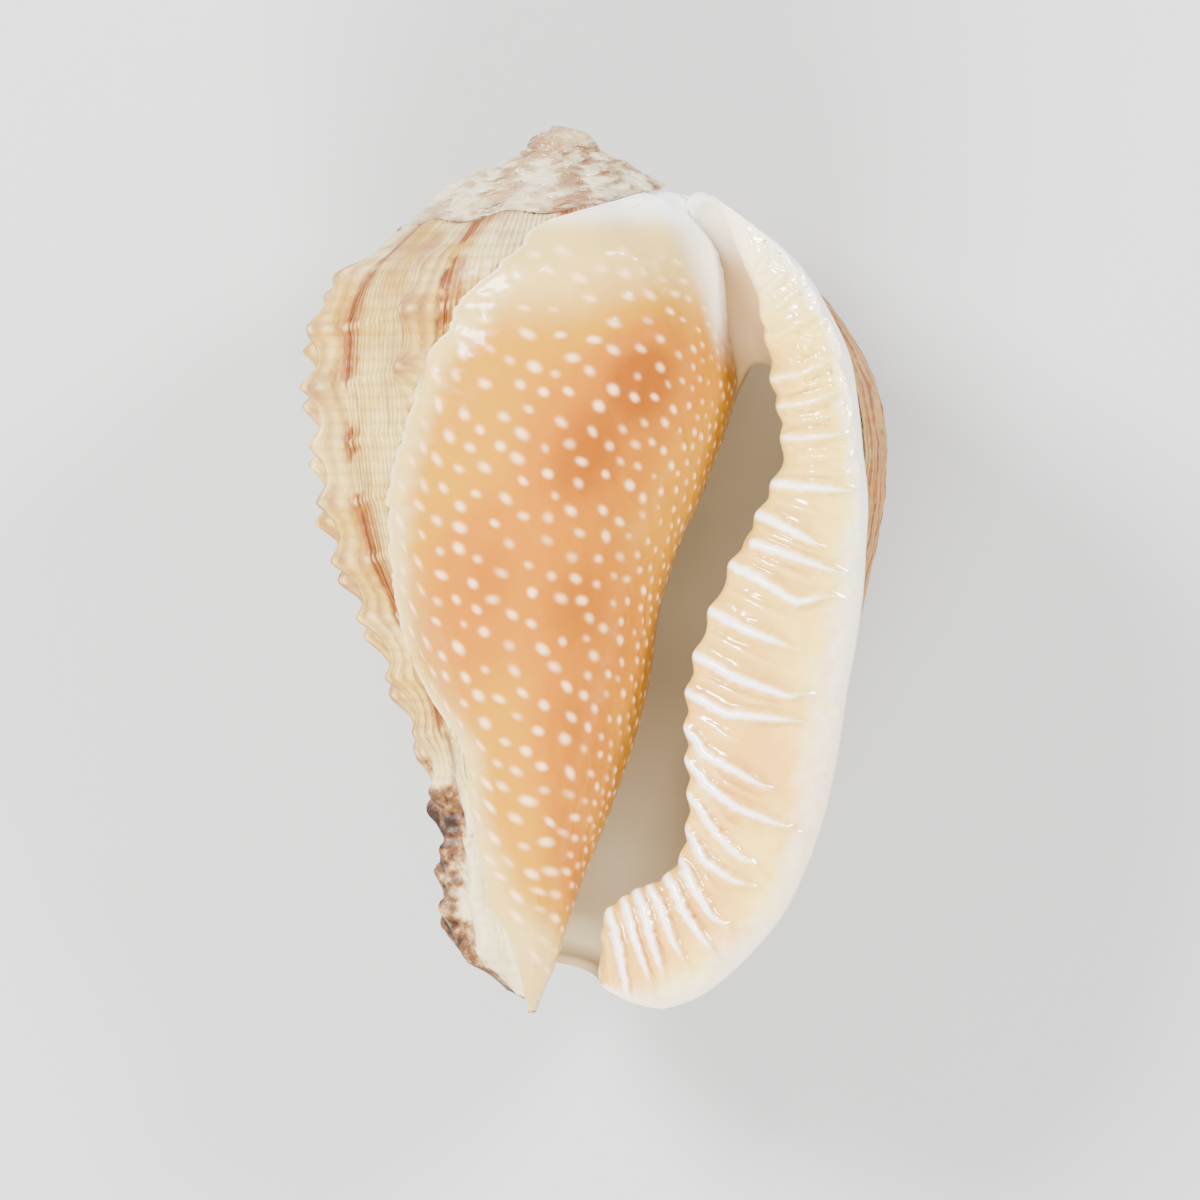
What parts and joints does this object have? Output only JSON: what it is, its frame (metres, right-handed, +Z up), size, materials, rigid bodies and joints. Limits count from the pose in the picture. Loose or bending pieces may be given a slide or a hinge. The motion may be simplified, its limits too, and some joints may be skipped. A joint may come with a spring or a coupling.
{
  "type": "seashell",
  "caption": "Ribbed sea snail shell lying aperture up, with a pustuled shield, a thick toothed outer lip and a low spire.",
  "frame": {"origin": "centre of the shell's footprint, on the surface that it lies on", "axes": "+Y along the shell toward the apex, +Z up out of the aperture, +X toward the outer lip"},
  "size_m": [0.0338, 0.0521, 0.0258],
  "materials": {
    "shell": "glossy natural shell: orange shield with white pustules, cream toothed lip, matt ivory and tan ribbed outside"
  },
  "bodies": {
    "root": {"shell": "shell"}
  },
  "joints": []
}
